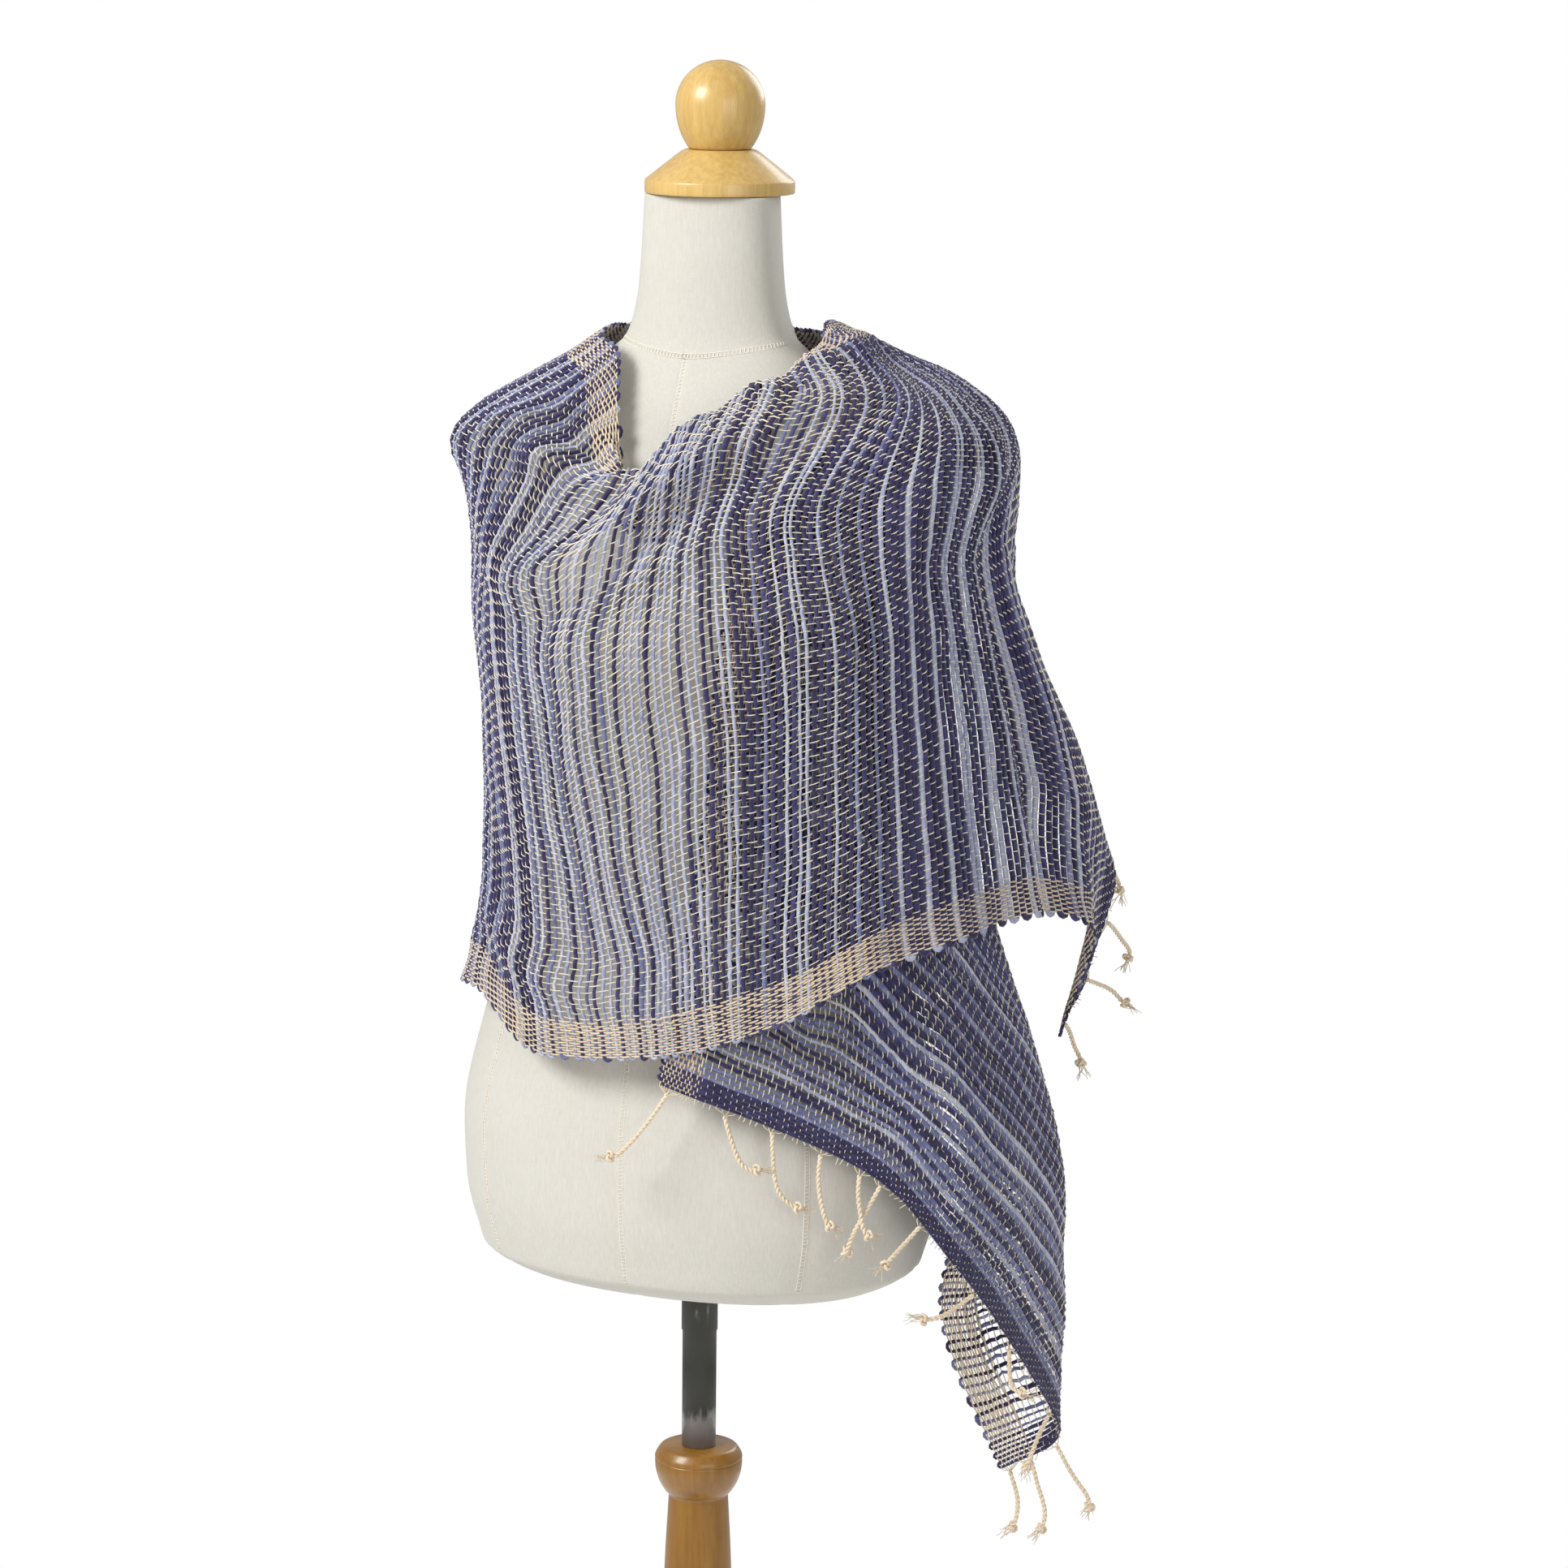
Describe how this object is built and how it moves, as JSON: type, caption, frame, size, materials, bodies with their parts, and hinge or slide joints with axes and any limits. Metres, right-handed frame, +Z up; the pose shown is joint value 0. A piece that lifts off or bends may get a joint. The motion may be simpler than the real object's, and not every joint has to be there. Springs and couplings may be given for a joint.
{
  "type": "shawl on limbless dress form",
  "caption": "Open-weave fringed shawl wrapped round a limbless dress form on a turned wooden stand, one end thrown over the shoulder and one hanging in front.",
  "frame": {"origin": "on the floor under the middle of the stand's round base", "axes": "+Z up the stand, -Y the way the form faces, +X to the wearer's left"},
  "size_m": [0.4658, 0.4034, 1.62],
  "materials": {
    "woven_cotton": "matt hand-spun cotton in indigo and pale blue with cream warps",
    "cream_cord": "matt twisted cotton cord",
    "form_cover": "matt off-white cotton cover with laced seams",
    "honey_wood": "varnished turned wood",
    "grey_steel": "worn dark grey steel"
  },
  "bodies": {
    "root": {"shawl_tail": "woven_cotton", "shawl_back": "woven_cotton", "shawl_side": "woven_cotton", "shawl_front": "woven_cotton", "shawl_over_shoulder": "woven_cotton", "fringe_tail": "cream_cord", "fringe_end": "cream_cord", "form_torso": "form_cover", "neck_cap": "honey_wood", "knob": "honey_wood", "pole": "grey_steel", "stand_post": "honey_wood", "stand_base": "honey_wood"}
  },
  "joints": []
}
